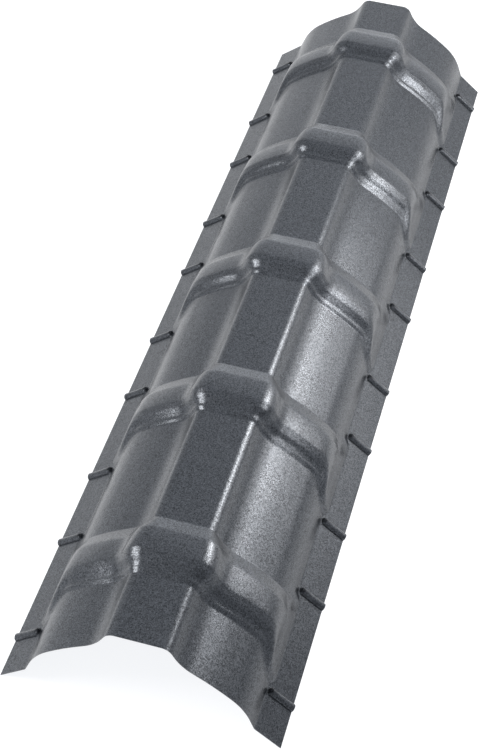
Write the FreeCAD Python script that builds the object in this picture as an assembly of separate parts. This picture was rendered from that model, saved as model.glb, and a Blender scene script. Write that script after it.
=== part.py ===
import FreeCAD, Part
import math
import os

os.makedirs("parts", exist_ok=True)

# A pressed sheet steel roof ridge cap: one strip with a flat crown, sloping
# shoulders, steep walls and sloping side flanges, pressed into stepped collars
# at a steady pitch, with a bead across each flange at both ends of a collar.
# X runs across the ridge, Y along it with the stepped lips facing -Y, Z is up.
# The origin is the middle of the plan, on the floor line of the flange edges.

# Sheet and overall size
SHEET = 0.5
HALF_WIDTH = 154.0
LENGTH = 1193.6
CROWN_RISE = 124.36

# Plain section, from the crown down to the flange (slopes are below level)
CROWN_HALF_FLAT = 24.3
CROWN_RADIUS = 13.4
SIDE_SLOPE = 61.6
SIDE_LENGTH = 4.7
NECK_RADIUS = 50.7
SHOULDER_TOP_SLOPE = 29.1
SHOULDER_RADIUS = 283.0
SHOULDER_FOOT_SLOPE = 39.0
HAUNCH_RADIUS = 68.3
WALL_SLOPE = 69.1
FLANGE_SLOPE = 38.6

# Collars, placed along the ridge by the bead at the front of each
COLLARS = 5
PITCH = 239.6
FIRST_BEAD = 50.5
BEAD_SPACING = 136.3
LIP_RISE = 9.4
LOWER_RISE = 1.6
BACK_RISE = 7.0
FOOT_RISE = 3.4

# Sideways spread of the crown's sides for each mm that a collar rises
CROWN_SPREAD = 0.5

# Where a collar starts, peaks, turns down and ends behind its front bead,
# first over the crown and shoulders, then at the foot of the wall
CROWN_STEPS = (31.0, 59.5, 89.5, 109.5)
FOOT_STEPS = (5.0, 14.0, 122.0, 131.3)

# Where the front and the back swing from one timing to the other, as shares
# of the way down the haunch and wall
FRONT_SWING = (0.2, 0.9)
BACK_SWING = (0.6, 0.95)

# Shares of the front step's run where its lower riser ends and its main riser
# starts, and the number of ruled spans from the lower riser up to the lip
LOWER_RISER_END = 0.21
MAIN_RISER_START = 0.14
RISER_SPANS = 4

# Flange beads, rounded in a few flats
BEAD_HEIGHT = 4.0
BEAD_WIDTH = 10.0
BEAD_REACH = 35.0
BEAD_FLATS = 8


def slope_direction(slope):
    angle = math.radians(slope)
    return FreeCAD.Vector(math.cos(angle), 0, -math.sin(angle))


def slope_normal(slope):
    angle = math.radians(slope)
    return FreeCAD.Vector(math.sin(angle), 0, math.cos(angle))


def arc_point(start, slope, end_slope, radius):
    """Point on an arc that leaves start at one slope and has reached another."""
    side = 1.0 if end_slope > slope else -1.0
    return start + (slope_normal(end_slope) - slope_normal(slope)) * (side * radius)


def mix(a, b, share):
    return a + (b - a) * share


def ease(t):
    """Smooth rise from 0 to 1 as t goes from 0 to 1."""
    t = min(max(t, 0.0), 1.0)
    return t * t * (3.0 - 2.0 * t)


def front_swing(travel):
    """How far the collar's front has swung from crown to foot timing, down the haunch and wall."""
    return ease((travel - FRONT_SWING[0]) / (FRONT_SWING[1] - FRONT_SWING[0]))


def back_swing(travel):
    """The same for the collar's back, which swings later."""
    return ease((travel - BACK_SWING[0]) / (BACK_SWING[1] - BACK_SWING[0]))


def front_step(t):
    """Height share of the front step: a small lower riser that eases off before the main riser."""
    share = LOWER_RISE / LIP_RISE
    lower = ease(t / LOWER_RISER_END)
    main = ease((t - MAIN_RISER_START) / (1.0 - MAIN_RISER_START))
    return mix(main, lower, share)


def collar_rise(along, travel):
    """Height of a collar over the plain section, along mm behind its front bead."""
    front = front_swing(travel)
    back = back_swing(travel)
    swings = (front, front, back, back)
    start, lip, turn, end = [mix(a, b, s) for a, b, s in zip(CROWN_STEPS, FOOT_STEPS, swings)]
    lip_rise = mix(LIP_RISE, FOOT_RISE, front)
    back_rise = mix(BACK_RISE, FOOT_RISE, front)
    if along <= lip:
        return lip_rise * front_step((along - start) / (lip - start))
    if along <= turn:
        return mix(lip_rise, back_rise, ((along - lip) / (turn - lip)) ** 2)
    return back_rise * max(end - along, 0.0) / (end - turn)


# Plain outer half section as stations: point, slope, travel down the haunch
# and wall, and sideways spread for each mm that a collar rises there
TIP = FreeCAD.Vector(HALF_WIDTH, 0, SHEET * math.cos(math.radians(FLANGE_SLOPE)))
STATIONS = [(FreeCAD.Vector(CROWN_HALF_FLAT, 0, TIP.z + CROWN_RISE), 0.0, 0.0, CROWN_SPREAD)]


def add_arc(end_slope, radius, travels=(0.0, 0.0), spreads=(0.0, 0.0)):
    start, slope = STATIONS[-1][:2]
    middle = 0.5 * (slope + end_slope)
    for reached, travel, spread in zip((middle, end_slope), travels, spreads):
        STATIONS.append((arc_point(start, slope, reached, radius), reached, travel, spread))


add_arc(SIDE_SLOPE, CROWN_RADIUS, spreads=(CROWN_SPREAD, CROWN_SPREAD))
side_foot = STATIONS[-1][0] + slope_direction(SIDE_SLOPE) * SIDE_LENGTH
STATIONS.append((side_foot, SIDE_SLOPE, 0.0, CROWN_SPREAD))
add_arc(SHOULDER_TOP_SLOPE, NECK_RADIUS, spreads=(0.5 * CROWN_SPREAD, 0.0))
add_arc(SHOULDER_FOOT_SLOPE, SHOULDER_RADIUS)

# Foot of the wall, where its line meets the flange
HAUNCH_START = STATIONS[-1][0]
HAUNCH_END = arc_point(HAUNCH_START, SHOULDER_FOOT_SLOPE, WALL_SLOPE, HAUNCH_RADIUS)
BEND_ANGLE = math.radians(WALL_SLOPE - FLANGE_SLOPE)
WALL_LENGTH = (HAUNCH_END - TIP).dot(slope_normal(FLANGE_SLOPE)) / math.sin(BEND_ANGLE)
FOOT = HAUNCH_END + slope_direction(WALL_SLOPE) * WALL_LENGTH
HAUNCH_LENGTH = HAUNCH_RADIUS * math.radians(WALL_SLOPE - SHOULDER_FOOT_SLOPE)
HAUNCH_TRAVEL = HAUNCH_LENGTH / (HAUNCH_LENGTH + WALL_LENGTH)

HALF_SLOPE = 0.5 * (SHOULDER_FOOT_SLOPE + WALL_SLOPE)
add_arc(HALF_SLOPE, HAUNCH_RADIUS, travels=(0.25 * HAUNCH_TRAVEL, 0.5 * HAUNCH_TRAVEL))
add_arc(WALL_SLOPE, HAUNCH_RADIUS, travels=(0.75 * HAUNCH_TRAVEL, HAUNCH_TRAVEL))


def half_points(rises, depth):
    """Points of a half section, from crown to flange tip, depth mm inside the outer skin."""
    points = []
    for point, slope, travel, spread in STATIONS:
        lead = slope_normal(slope) + FreeCAD.Vector(spread, 0, 0)
        points.append(point + lead * rises(travel) - slope_normal(slope) * depth)
    wall_normal = slope_normal(WALL_SLOPE)
    flange_normal = slope_normal(FLANGE_SLOPE)
    mitre = (wall_normal + flange_normal) * (depth / (1.0 + wall_normal.dot(flange_normal)))
    slide = slope_direction(FLANGE_SLOPE) * (rises(1.0) / math.sin(BEND_ANGLE))
    points.append(FOOT + slide - mitre)
    points.append(TIP - flange_normal * depth)
    return points


# The kinds of edge met along a half section, from crown to tip
EDGE_KINDS = ("arc", "line", "arc", "arc", "arc", "arc", "line", "line")


def half_edges(points):
    edges = []
    place = 0
    for kind in EDGE_KINDS:
        if kind == "arc":
            edges.append(Part.Arc(points[place], points[place + 1], points[place + 2]).toShape())
            place += 2
        else:
            edges.append(Part.LineSegment(points[place], points[place + 1]).toShape())
            place += 1
    return edges


def section(y, rises):
    """Closed wire of the sheet's cut section at y."""
    skins = []
    for depth in (0.0, SHEET):
        right = [FreeCAD.Vector(p.x, y, p.z) for p in half_points(rises, depth)]
        left = [FreeCAD.Vector(-p.x, y, p.z) for p in right]
        crown = Part.LineSegment(left[0], right[0]).toShape()
        edges = half_edges(left)[::-1] + [crown] + half_edges(right)
        skins.append((edges, left[-1], right[-1]))
    (outer, outer_left, outer_right), (inner, inner_left, inner_right) = skins
    edges = outer + [Part.LineSegment(outer_right, inner_right).toShape()]
    edges += inner[::-1] + [Part.LineSegment(inner_left, outer_left).toShape()]
    return Part.Wire(edges)


def plain_length(y_start, y_end):
    face = Part.Face(section(y_start, lambda travel: 0.0))
    return face.extrude(FreeCAD.Vector(0, y_end - y_start, 0))


def collar():
    """One collar, its front bead at y = 0, ruled between sections where its slope changes."""
    start, lip, turn, end = CROWN_STEPS
    lower_end = mix(start, lip, LOWER_RISER_END)
    places = [FOOT_STEPS[0], FOOT_STEPS[1], start]
    places += [mix(lower_end, lip, i / RISER_SPANS) for i in range(RISER_SPANS)]
    places += [lip, 0.5 * (lip + turn), turn, end, FOOT_STEPS[2], FOOT_STEPS[3]]
    wires = []
    for along in places:
        wires.append(section(along, lambda travel, a=along: collar_rise(a, travel)))
    return Part.makeLoft(wires, True, True)


# The strip: plain lengths and collars in turn
bead_places = [-0.5 * LENGTH + FIRST_BEAD + i * PITCH for i in range(COLLARS)]
one_collar = collar()
pieces = []
reached = -0.5 * LENGTH
for place in bead_places:
    pieces.append(plain_length(reached, place + FOOT_STEPS[0]))
    pieces.append(one_collar.translated(FreeCAD.Vector(0, place, 0)))
    reached = place + FOOT_STEPS[3]
pieces.append(plain_length(reached, 0.5 * LENGTH))
strip = pieces[0].multiFuse(pieces[1:])


def on_flange(reach, height, y):
    """Point reach mm in from the flange's cut edge and height mm over its outer skin."""
    place = TIP - slope_direction(FLANGE_SLOPE) * reach + slope_normal(FLANGE_SLOPE) * height
    return place + FreeCAD.Vector(0, y, 0)


def bead_bar(inset, overrun):
    """Bar along the flange at y = 0, rounded in a few flats, inset from the bead's outside."""
    half = 0.5 * BEAD_WIDTH - inset
    rise = BEAD_HEIGHT + SHEET - inset
    outline = []
    for k in range(BEAD_FLATS + 1):
        turn = math.pi * k / BEAD_FLATS
        outline.append(on_flange(-overrun, rise * math.sin(turn) - SHEET, -half * math.cos(turn)))
    face = Part.Face(Part.makePolygon(outline + outline[:1]))
    return face.extrude(slope_direction(FLANGE_SLOPE) * -(BEAD_REACH - inset + overrun))


hollow = bead_bar(SHEET, SHEET)
bead = bead_bar(0.0, 0.0).cut(hollow)


def both_sides(shape, y):
    placed = shape.translated(FreeCAD.Vector(0, y, 0))
    mirrored = placed.mirror(FreeCAD.Vector(0, 0, 0), FreeCAD.Vector(1, 0, 0))
    return [placed, mirrored]


beads = []
hollows = []
for place in bead_places:
    for y in (place, place + BEAD_SPACING):
        beads += both_sides(bead, y)
        hollows += both_sides(hollow, y)
cap = strip.cut(hollows).multiFuse(beads).removeSplitter()
cap = cap.Solids[0] if len(cap.Solids) == 1 else cap

cap.exportStep("parts/ridge_cap.step")
print("solids", len(cap.Solids), "valid", cap.isValid(), "volume", round(cap.Volume, 1))
print("box", cap.BoundBox)
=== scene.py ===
import math
import bpy
import numpy as np
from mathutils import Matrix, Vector


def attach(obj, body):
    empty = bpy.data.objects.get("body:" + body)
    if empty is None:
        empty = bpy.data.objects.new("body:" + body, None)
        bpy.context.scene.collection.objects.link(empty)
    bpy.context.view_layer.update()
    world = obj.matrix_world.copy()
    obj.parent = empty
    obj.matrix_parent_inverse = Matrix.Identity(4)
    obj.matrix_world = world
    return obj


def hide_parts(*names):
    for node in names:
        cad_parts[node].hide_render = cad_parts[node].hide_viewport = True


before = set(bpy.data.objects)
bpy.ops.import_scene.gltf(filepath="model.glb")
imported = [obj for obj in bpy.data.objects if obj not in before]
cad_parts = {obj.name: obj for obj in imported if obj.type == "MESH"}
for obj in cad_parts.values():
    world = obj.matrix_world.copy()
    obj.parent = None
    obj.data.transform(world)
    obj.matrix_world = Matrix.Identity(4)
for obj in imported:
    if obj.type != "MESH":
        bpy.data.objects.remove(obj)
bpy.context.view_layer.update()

# A pressed sheet steel roof ridge cap with a grained coat, in a soft studio.
# Its shape has the same values as the solid, in millimetres and degrees.
# X runs across the ridge, Y along it with the stepped lips facing -Y, Z is up.

# Sheet and overall size
SHEET = 0.5
HALF_WIDTH = 154.0
LENGTH = 1193.6
CROWN_RISE = 124.36

# Plain section, from the crown down to the flange (slopes are below level)
CROWN_HALF_FLAT = 24.3
CROWN_RADIUS = 13.4
SIDE_SLOPE = 61.6
SIDE_LENGTH = 4.7
NECK_RADIUS = 50.7
SHOULDER_TOP_SLOPE = 29.1
SHOULDER_RADIUS = 283.0
SHOULDER_FOOT_SLOPE = 39.0
HAUNCH_RADIUS = 68.3
WALL_SLOPE = 69.1
FLANGE_SLOPE = 38.6

# Collars, placed along the ridge by the bead at the front of each
COLLARS = 5
PITCH = 239.6
FIRST_BEAD = 50.5
BEAD_SPACING = 136.3
LIP_RISE = 9.4
BACK_RISE = 7.0
FOOT_RISE = 3.4

# Sideways spread of the crown's sides for each mm that a collar rises
CROWN_SPREAD = 0.5

# Where a collar starts, peaks, turns down and ends behind its front bead,
# first over the crown and shoulders, then at the foot of the wall
CROWN_STEPS = (31.0, 59.5, 89.5, 109.5)
FOOT_STEPS = (5.0, 14.0, 122.0, 131.3)

# Where the front and the back swing from one timing to the other, as shares
# of the way down the haunch and wall
FRONT_SWING = (0.2, 0.9)
BACK_SWING = (0.6, 0.95)

# Flange beads
BEAD_HEIGHT = 4.0
BEAD_WIDTH = 10.0
BEAD_REACH = 35.0

# Finer than the solid: a front step's curve, as the rise of its small lower
# riser and of its rounded lip, with shares of its run where its parts lie
LOWER_RISE = 2.1
LIP_ROUND_RISE = 1.3
LOWER_RISER_END = 0.25
MAIN_RISER = (0.18, 0.84)
LIP_ROUND_START = 0.72

# Finer than the solid: the fold at the foot of the wall, the heights over which
# a back ramp's two creases are rounded, and the length of a bead's round nose
BEND_RADIUS = 5.0
TURN_ROUND = 0.5
END_ROUND = 0.35
NOSE_ROUND = 3.0

# Finer than the solid: painted shade at a bead's inner end, a dull spot where the coat's gloss is lowered to
# stand in for the shade there, by its distance in from the cut edge, its radius and how quickly it sets in
PAINTED_SHADE_PLACE = 33.2
PAINTED_SHADE_RADIUS = 4.2
PAINTED_SHADE_ONSET = 1.6

# Columns of the mesh on each arc, and shares along the wall and round the fold
CORNER_COLUMNS = 8
NECK_COLUMNS = 6
SHOULDER_COLUMNS = 4
HAUNCH_COLUMNS = 10
WALL_SHARES = (0.35, 0.7, 1.0)
FOLD_SHARES = (0.25, 0.5, 0.75)

# Columns of the mesh on a flange: angles round a bead's nose, the room past and
# behind the nose, and shares along the rest of the bead
NOSE_ANGLES = (90, 78, 60, 40, 20, 0)
PAST_NOSE = 0.4
BEHIND_NOSE = 2.0
BEAD_SHARES = (0.66, 0.33, 0.0)

# Rows of the mesh: angles across a bead, rows beside it and the room it keeps,
# the share of a front step where rows are closest, and rows on plain stretches
BEAD_ANGLES = (-90, -75, -58, -40, -20, 0, 20, 40, 58, 75, 90)
BESIDE_BEAD = (5.3, 7.0)
BEAD_ROOM = 9.0
CLOSE_SHARE = 0.3
PLAIN_ROWS = (30.0, 70.0)
END_ROW = 20.0

# A millimetre in metres, and the least angle of an edge that looks sharp
MILLIMETRE = 0.001
SHARP_ANGLE = 40


def normal(slope):
    angle = math.radians(slope)
    return np.array((math.sin(angle), math.cos(angle)))


def along(slope):
    angle = math.radians(slope)
    return np.array((math.cos(angle), -math.sin(angle)))


def arc(start, slope, end_slope, radius):
    """End of an arc that turns from one slope to another."""
    side = 1.0 if end_slope > slope else -1.0
    return start + side * radius * (normal(end_slope) - normal(slope))


def unit(vectors):
    return vectors / np.linalg.norm(vectors, axis=-1, keepdims=True)


def mix(a, b, share):
    return a + (b - a) * share


def share_of(value, span):
    return (value - span[0]) / (span[1] - span[0])


def ease(t):
    t = np.clip(t, 0.0, 1.0)
    return t * t * (3.0 - 2.0 * t)


def steep_ease(t):
    t = np.clip(t, 0.0, 1.0)
    return t * t * t * (t * (6.0 * t - 15.0) + 10.0)


def lower_of(a, b, blend):
    """The lower of two heights, rounded over where they cross."""
    near = np.maximum(blend - np.abs(a - b), 0.0) / blend
    return np.minimum(a, b) - 0.25 * blend * near * near


def front_step(t):
    """Share of the lip's rise at a share of the front step's run."""
    lower = ease(t / LOWER_RISER_END)
    main = steep_ease(share_of(t, MAIN_RISER))
    lip = ease(share_of(t, (LIP_ROUND_START, 1.0)))
    return main + (LOWER_RISE * (lower - main) + LIP_ROUND_RISE * (lip - main)) / LIP_RISE


def collar_rise(y, travel):
    """Rise of a collar over the plain section, for a column of rows y and a row of travels."""
    front = ease(share_of(travel, FRONT_SWING))
    back = ease(share_of(travel, BACK_SWING))
    swings = (front, front, back, back)
    start, lip, turn, end = [mix(a, b, s) for a, b, s in zip(CROWN_STEPS, FOOT_STEPS, swings)]
    lip_rise = mix(LIP_RISE, FOOT_RISE, front)
    back_rise = mix(BACK_RISE, FOOT_RISE, front)
    step = lip_rise * front_step(share_of(y, (start, lip)))
    top = mix(lip_rise, back_rise, share_of(y, (lip, turn)) ** 2)
    plain = np.zeros_like(y * travel)
    ramp = -lower_of(-back_rise * (end - y) / (end - turn), plain, END_ROUND)
    behind = lower_of(top, ramp, TURN_ROUND)
    return np.where(y <= lip, step, np.where(y < 0.5 * (lip + turn), top, behind))


# Plain half section from the ridge line to the wall, a column at a time: x, z,
# slope, travel down the haunch and wall, and spread for each mm of a collar
TIP = np.array((HALF_WIDTH, SHEET * math.cos(math.radians(FLANGE_SLOPE))))
point = np.array((CROWN_HALF_FLAT, TIP[1] + CROWN_RISE))
section = []
for across in (0.0, 0.5, 1.0):
    section.append((across * CROWN_HALF_FLAT, point[1], 0.0, 0.0, across * CROWN_SPREAD))


def add_arc(start, slope, end_slope, radius, count, end_travel=0.0, spreads=(0.0, 0.0)):
    """Add the columns of an arc to the section and give its end."""
    for k in range(1, count + 1):
        share = k / count
        here = mix(slope, end_slope, share)
        place = arc(start, slope, here, radius)
        section.append((*place, here, end_travel * share, mix(*spreads, share)))
    return place


point = add_arc(point, 0.0, SIDE_SLOPE, CROWN_RADIUS, CORNER_COLUMNS, spreads=(CROWN_SPREAD, CROWN_SPREAD))
point = point + along(SIDE_SLOPE) * SIDE_LENGTH
section.append((*point, SIDE_SLOPE, 0.0, CROWN_SPREAD))
point = add_arc(point, SIDE_SLOPE, SHOULDER_TOP_SLOPE, NECK_RADIUS, NECK_COLUMNS, spreads=(CROWN_SPREAD, 0.0))
point = add_arc(point, SHOULDER_TOP_SLOPE, SHOULDER_FOOT_SLOPE, SHOULDER_RADIUS, SHOULDER_COLUMNS)
haunch_end = arc(point, SHOULDER_FOOT_SLOPE, WALL_SLOPE, HAUNCH_RADIUS)
bend = math.radians(WALL_SLOPE - FLANGE_SLOPE)
wall_length = float(np.dot(haunch_end - TIP, normal(FLANGE_SLOPE))) / math.sin(bend)
haunch_length = HAUNCH_RADIUS * math.radians(WALL_SLOPE - SHOULDER_FOOT_SLOPE)
haunch_travel = haunch_length / (haunch_length + wall_length)
FOOT = haunch_end + along(WALL_SLOPE) * wall_length
add_arc(point, SHOULDER_FOOT_SLOPE, WALL_SLOPE, HAUNCH_RADIUS, HAUNCH_COLUMNS, end_travel=haunch_travel)
section_x, section_z, section_slope, section_travel, section_spread = np.array(section).T


def collar_rows():
    """Rows over one collar behind its front bead, close together where its shape turns."""
    start, lip, turn, end = CROWN_STEPS
    ledge = mix(start, lip, CLOSE_SHARE)
    return np.concatenate([
        np.linspace(BEAD_ROOM, start - 4.0, 5),
        np.linspace(start - 1.0, ledge, 12),
        np.linspace(ledge + 1.2, lip, 14),
        np.linspace(lip + 2.5, turn - 5.0, 6),
        np.linspace(turn - 2.4, turn + 2.4, 7),
        np.linspace(turn + 5.0, end - 3.0, 4),
        np.linspace(end - 1.5, end + 1.5, 6),
        np.linspace(end + 4.0, BEAD_SPACING - BEAD_ROOM, 6)])


# Rows along the ridge from end to end
near_end, far_end = -0.5 * LENGTH, 0.5 * LENGTH
fronts = [near_end + FIRST_BEAD + i * PITCH for i in range(COLLARS)]
beads = [front + back for front in fronts for back in (0.0, BEAD_SPACING)]
beside = np.array(BESIDE_BEAD)
bead_rows = np.concatenate([-beside[::-1], 0.5 * BEAD_WIDTH * np.sin(np.radians(BEAD_ANGLES)), beside])
rows = [np.array((near_end, near_end + END_ROW))]
for front in fronts:
    back = front + BEAD_SPACING
    rows += [front + bead_rows, front + collar_rows(), back + bead_rows, back + np.array(PLAIN_ROWS)]
rows[-1] = np.array((far_end - END_ROW, far_end))
rows = np.concatenate(rows)


def rise_at(travel):
    """Rise over the plain section at every row, for a row of travels."""
    rise = np.zeros((len(rows), len(travel)))
    for front in fronts:
        y = (rows - front)[:, None]
        inside = (y > 0) & (y < BEAD_SPACING)
        rise = np.where(inside, np.maximum(collar_rise(y, travel[None, :]), 0.0), rise)
    return rise


# Crown to haunch, lifted by the collars
lift = rise_at(section_travel)
slope = np.radians(section_slope)
lifted_x = section_x + (np.sin(slope) + section_spread) * lift
lifted_z = section_z + np.cos(slope) * lift
upper = np.stack([lifted_x, lifted_z], 2)

# Wall and the fold at its foot, which slides out along the flange
wall_top = upper[:, -1]
foot = FOOT + along(FLANGE_SLOPE) * rise_at(np.array([1.0])) / math.sin(bend)
up = unit(wall_top - foot)
out = unit(TIP - foot)
half_turn = 0.5 * np.arccos(np.clip((up * out).sum(1), -1, 1))[:, None]
centre = foot + unit(up + out) * BEND_RADIUS / np.sin(half_turn)
fold_start = foot + up * BEND_RADIUS / np.tan(half_turn)
fold_end = foot + out * BEND_RADIUS / np.tan(half_turn)
side = [mix(wall_top, fold_start, share) for share in WALL_SHARES]
for share in FOLD_SHARES:
    side.append(centre + unit(mix(fold_start, fold_end, share) - centre) * BEND_RADIUS)
side.append(fold_end)

# Flange by distance in from the cut edge, with the beads raised on it, and how much painted shade there is at
# each point, a dull spot at each bead's inner end
plain_run = float(np.linalg.norm(TIP - FOOT)) - BEND_RADIUS * math.tan(0.5 * bend)
nose = BEAD_REACH - NOSE_ROUND
inward = [BEAD_REACH + PAST_NOSE]
inward += [nose + NOSE_ROUND * math.sin(math.radians(angle)) for angle in NOSE_ANGLES]
inward += [nose - BEHIND_NOSE] + [share * nose for share in BEAD_SHARES]
painted_shades = []
for distance in inward:
    raised, painted_shade = np.zeros(len(rows)), np.zeros(len(rows))
    for bead in beads:
        off = ((rows - bead) / (0.5 * BEAD_WIDTH)) ** 2 + (max(distance - nose, 0.0) / NOSE_ROUND) ** 2
        raised = np.maximum(raised, BEAD_HEIGHT * np.sqrt(np.maximum(1.0 - off, 0.0)))
        # Painted shade: a round spot at the bead's inner end whose gloss is lowered to darken it
        away = np.hypot(rows - bead, distance - PAINTED_SHADE_PLACE) / PAINTED_SHADE_RADIUS
        painted_shade = np.maximum(painted_shade, np.clip(PAINTED_SHADE_ONSET * (1.0 - away ** 2), 0.0, 1.0))
    side.append(mix(TIP, fold_end, distance / plain_run) + normal(FLANGE_SLOPE) * raised[:, None])
    painted_shades.append(painted_shade)
half = np.concatenate([upper, np.stack(side, 1)], 1)
half_painted_shade = np.zeros(half.shape[:2])
half_painted_shade[:, -len(painted_shades):] = np.stack(painted_shades, 1)


def mirrored(values, sign):
    """Both halves side by side, from the left cut edge to the right one."""
    return np.concatenate([sign * values[:, :0:-1], values], 1)


# Outer and inner skin as one grid of points each
skin_x = mirrored(half[:, :, 0], -1.0)
skin_y = np.repeat(rows[:, None], skin_x.shape[1], 1)
outer_points = np.stack([skin_x, skin_y, mirrored(half[:, :, 1], 1.0)], 2)
outward = unit(np.cross(np.gradient(outer_points, axis=1), np.gradient(outer_points, axis=0)))
inner_points = outer_points - SHEET * outward
inner_points[:, :, 1] = np.clip(inner_points[:, :, 1], near_end, far_end)
points = np.concatenate([outer_points.reshape(-1, 3), inner_points.reshape(-1, 3)]) * MILLIMETRE
outer = np.arange(skin_x.size).reshape(skin_x.shape)
inner = outer + skin_x.size


def quads(a, b, c, d):
    return np.stack([a.ravel(), b.ravel(), c.ravel(), d.ravel()], 1)


# Faces of both skins, and of the rims that join them along the cut edges
outer_faces = quads(outer[:-1, :-1], outer[:-1, 1:], outer[1:, 1:], outer[1:, :-1])
inner_faces = quads(inner[:-1, :-1], inner[1:, :-1], inner[1:, 1:], inner[:-1, 1:])
rim_faces = np.concatenate([
    quads(outer[0, :-1], inner[0, :-1], inner[0, 1:], outer[0, 1:]),
    quads(outer[-1, 1:], inner[-1, 1:], inner[-1, :-1], outer[-1, :-1]),
    quads(outer[1:, 0], inner[1:, 0], inner[:-1, 0], outer[:-1, 0]),
    quads(outer[:-1, -1], inner[:-1, -1], inner[1:, -1], outer[1:, -1])])
faces = np.concatenate([outer_faces, inner_faces, rim_faces])
finishes = np.repeat((0, 1, 2), (len(outer_faces), len(inner_faces), len(rim_faces)))

mesh = bpy.data.meshes.new("ridge_cap_skin")
mesh.vertices.add(len(points))
mesh.vertices.foreach_set("co", points.astype(np.float32).ravel())
mesh.loops.add(faces.size)
mesh.loops.foreach_set("vertex_index", faces.astype(np.int32).ravel())
mesh.polygons.add(len(faces))
mesh.polygons.foreach_set("loop_start", np.arange(0, faces.size, 4, dtype=np.int32))
mesh.polygons.foreach_set("use_smooth", np.ones(len(faces), dtype=bool))
mesh.update(calc_edges=True)
mesh.validate()
mesh.set_sharp_from_angle(angle=math.radians(SHARP_ANGLE))
# Painted shade: the dull spots at the bead noses, stored as a point attribute on the outer skin and read by
# the coat to lower its gloss
outer_painted_shade = mirrored(half_painted_shade, 1.0).ravel()
point_painted_shade = np.concatenate([outer_painted_shade, np.zeros_like(outer_painted_shade)]).astype(np.float32)
mesh.attributes.new("painted_shade", "FLOAT", "POINT").data.foreach_set("value", point_painted_shade)
cap = bpy.data.objects.new("ridge_cap_skin", mesh)
bpy.context.scene.collection.objects.link(cap)


def fill(tree, node, inputs):
    """Set a node's inputs by name or number, or link them where an output is given."""
    for key, value in inputs.items():
        if isinstance(value, bpy.types.NodeSocket):
            tree.links.new(value, node.inputs[key])
        else:
            node.inputs[key].default_value = value


def add_node(tree, kind, inputs, **settings):
    node = tree.nodes.new("ShaderNode" + kind)
    for name, value in settings.items():
        setattr(node, name, value)
    fill(tree, node, inputs)
    return node.outputs


def colour_ramp(tree, factor, stops):
    """Colour ramp through stops of position and colour, in order."""
    node = tree.nodes.new("ShaderNodeValToRGB")
    elements = node.color_ramp.elements
    elements[0].position, elements[1].position = stops[0][0], stops[-1][0]
    for position, _ in stops[1:-1]:
        elements.new(position)
    for element, (_, colour) in zip(elements, stops):
        element.color = (*colour, 1)
    fill(tree, node, {"Fac": factor})
    return node.outputs["Color"]


def map_range(tree, value, source, target):
    inputs = {"Value": value, "From Min": source[0], "From Max": source[1]}
    inputs.update({"To Min": target[0], "To Max": target[1]})
    return add_node(tree, "MapRange", inputs)["Result"]


def vector_math(tree, operation, *vectors):
    return add_node(tree, "VectorMath", dict(enumerate(vectors)), operation=operation)["Vector"]


def new_material(name):
    material = bpy.data.materials.new(name)
    material.use_nodes = True
    return material, material.node_tree, material.node_tree.nodes["Principled BSDF"]


# Specks and clouds of the coat, and its gloss as a specular level: the mean of all specks, and what the
# shiniest drop to in the middle of a bead nose's painted shade
SPECK_SCALE = 1050.0
SPECK_COLOURS = (0.15, 0.85)
CLOUD_SCALE = 14.0
CLOUD_DETAIL = 3.0
CLOUD_RANGE = (0.3, 0.7)
COAT_IOR = 1.6
MEAN_GLOSS = 0.5
PAINTED_SHADE_GLOSS = -0.2


def coat(name, colours, rough, tint, tilt, gloss):
    """Coated or bare sheet: fine specks of colour, and roughness that drifts slowly.

    tilt is how far the normals of specks lean, and gloss how far their specular levels spread."""
    material, tree, shader = new_material(name)
    where = add_node(tree, "TexCoord", {})["Object"]
    specks = add_node(tree, "TexVoronoi", {"Vector": where, "Scale": SPECK_SCALE})
    clouds = {"Vector": where, "Scale": CLOUD_SCALE, "Detail": CLOUD_DETAIL}
    cloud = add_node(tree, "TexNoise", clouds)["Fac"]
    # Painted shade: the shiniest specks' gloss drops towards the bead noses to darken them
    painted_shade = add_node(tree, "Attribute", {}, attribute_name="painted_shade")["Fac"]
    shiniest = map_range(tree, painted_shade, (0.0, 1.0), (MEAN_GLOSS + gloss, PAINTED_SHADE_GLOSS))
    grain = add_node(tree, "TexWhiteNoise", {"Vector": specks["Position"]})["Value"]
    lean = vector_math(tree, "MULTIPLY_ADD", specks["Color"], [tilt] * 3, [-0.5 * tilt] * 3)
    smooth = add_node(tree, "NewGeometry", {})["Normal"]
    fill(tree, shader, {
        "Base Color": colour_ramp(tree, specks["Color"], list(zip(SPECK_COLOURS, colours))),
        "Roughness": map_range(tree, cloud, CLOUD_RANGE, rough),
        "IOR": COAT_IOR,
        "Normal": vector_math(tree, "NORMALIZE", vector_math(tree, "ADD", smooth, lean)),
        "Specular IOR Level": map_range(tree, grain, (0.0, 1.0), (MEAN_GLOSS - gloss, shiniest)),
        "Specular Tint": (*tint, 1)})
    return material


# Finishes of the outer skin, the inner skin and the rims, in the faces' order
GRAPHITE = ((0.003, 0.0033, 0.0038), (0.016, 0.018, 0.0215))
PALE_GREY = ((0.16, 0.165, 0.17), (0.2, 0.205, 0.21))
BARE_STEEL = ((0.3, 0.3, 0.31), (0.42, 0.42, 0.43))
BLUISH = (0.83, 0.895, 1.0)
NEUTRAL = (1.0, 1.0, 1.0)
mesh.materials.append(coat("coated_steel", GRAPHITE, rough=(0.26, 0.3), tint=BLUISH, tilt=0.07, gloss=0.34))
mesh.materials.append(coat("back_coat", PALE_GREY, rough=(0.5, 0.6), tint=NEUTRAL, tilt=0.05, gloss=0.2))
mesh.materials.append(coat("cut_edge", BARE_STEEL, rough=(0.35, 0.5), tint=NEUTRAL, tilt=0.05, gloss=0.2))
mesh.polygons.foreach_set("material_index", finishes.astype(np.int32))
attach(cap, "root")
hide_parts("ridge_cap")

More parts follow.
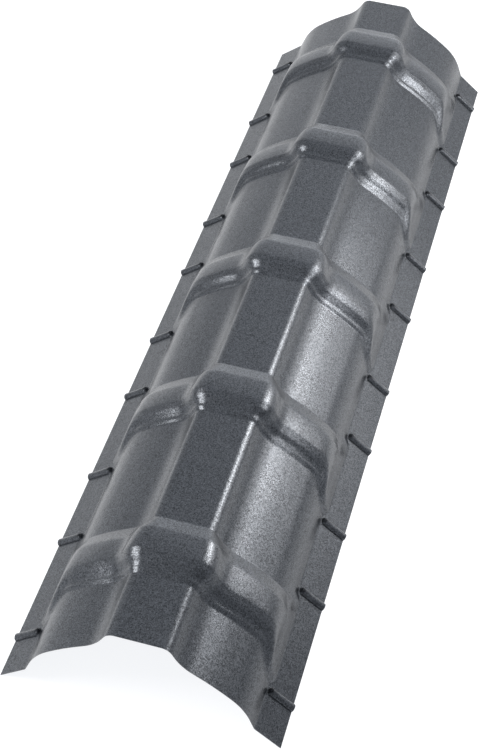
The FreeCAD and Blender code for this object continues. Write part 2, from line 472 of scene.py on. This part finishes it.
# Pale floor that glows a little, like a light table
FLOOR_SIZE = 200
bpy.ops.mesh.primitive_plane_add(size=FLOOR_SIZE, location=(0, 0, 0))
floor = bpy.context.object
floor.name = "floor"
floor_material, floor_tree, floor_shader = new_material("floor")
fill(floor_tree, floor_shader, {
    "Base Color": (0.22, 0.22, 0.22, 1),
    "Roughness": 0.8,
    "Emission Color": (0.98, 0.995, 1.02, 1),
    "Emission Strength": 0.85})
floor.data.materials.append(floor_material)

# Soft studio room: brightness at the horizon in eighths of a turn, from the
# cap's left by way of its near end, brightness overhead, the share that the
# horizon has by height, and the sockets that mix the two colours
HORIZON = (0.9, 1.5, 0.3, 0.3, 0.95, 0.92, 3.0, 0.92)
ZENITH = 0.78
HORIZON_SHARES = ((0.0, 1.0), (0.15, 0.72), (0.3, 0.51), (0.5, 0.33), (0.75, 0.19), (1.0, 0.11))
COOL = (0.975, 0.995, 1.03)
MIX_FACTOR, MIX_A, MIX_B, MIX_RESULT = 0, 6, 7, 2


def cool(level):
    return [c * level for c in COOL]


world = bpy.data.worlds.new("studio")
bpy.context.scene.world = world
world.use_nodes = True
room = world.node_tree
direction = add_node(room, "TexCoord", {})["Generated"]
height = add_node(room, "SeparateXYZ", {"Vector": direction})["Z"]
horizon_share = colour_ramp(room, height, [(position, [share] * 3) for position, share in HORIZON_SHARES])
turn_round = add_node(room, "TexGradient", {"Vector": direction}, gradient_type="RADIAL")["Fac"]
compass = [(k / len(HORIZON), cool(level)) for k, level in enumerate(HORIZON + HORIZON[:1])]
horizon = colour_ramp(room, turn_round, compass)
sky = {MIX_FACTOR: horizon_share, MIX_A: (*cool(ZENITH), 1), MIX_B: horizon}
blend = add_node(room, "Mix", sky, data_type="RGBA")
fill(room, room.nodes["Background"], {"Color": blend[MIX_RESULT]})

# Soft boxes in metres, aimed at the height of the shoulders
WARM = (1.0, 0.97, 0.935)
AIM_HEIGHT = 0.09


def soft_light(name, place, length, height, radiance):
    """Soft box with its length along the ridge, facing the ridge at its own y."""
    data = bpy.data.lights.new(name, "AREA")
    data.shape = "RECTANGLE"
    data.size = length
    data.size_y = height
    data.color = WARM
    data.energy = radiance * math.pi * length * height
    light = bpy.data.objects.new(name, data)
    light.location = place
    light.visible_camera = False
    aim = Vector((-place[0], 0.0, AIM_HEIGHT - place[2]))
    light.rotation_euler = aim.to_track_quat("-Z", "Y").to_euler()
    bpy.context.scene.collection.objects.link(light)


soft_light("right", (0.792, 0.707, 0.727), 0.94, 1.0, 2.5)
soft_light("right_low", (0.5, 0.4, 0.5), 0.6, 0.5, 1.0)
soft_light("right_near", (0.53, 0.41, 0.57), 0.52, 0.15, 14.0)
soft_light("left", (-1.5, -0.694, 1.5), 1.56, 1.2, 11.0)
soft_light("near", (0.22, -0.05, 0.363), 0.378, 0.141, 5.8)
soft_light("near_core", (0.42, 0.06, 0.44), 0.15, 0.1, 4.0)
soft_light("near_front", (0.4, -0.2, 0.43), 0.24, 0.15, 5.5)

# Camera solved from the photograph: its place in metres, its turn about X, Y
# and Z in degrees, and its focal length in the photograph's pixels
CAMERA_PLACE = (0.30721, -1.50581, 1.48998)
CAMERA_TURN = (44.2707, -2.0798, 15.5501)
FOCAL_PIXELS = 1656.66
PHOTO_HEIGHT = 750
SENSOR = 36
camera = bpy.data.objects.new("camera", bpy.data.cameras.new("camera"))
camera.data.sensor_width = SENSOR
camera.data.lens = FOCAL_PIXELS / PHOTO_HEIGHT * SENSOR
camera.location = CAMERA_PLACE
camera.rotation_euler = [math.radians(angle) for angle in CAMERA_TURN]
bpy.context.scene.collection.objects.link(camera)
bpy.context.scene.camera = camera
bpy.context.scene.view_settings.view_transform = "Standard"
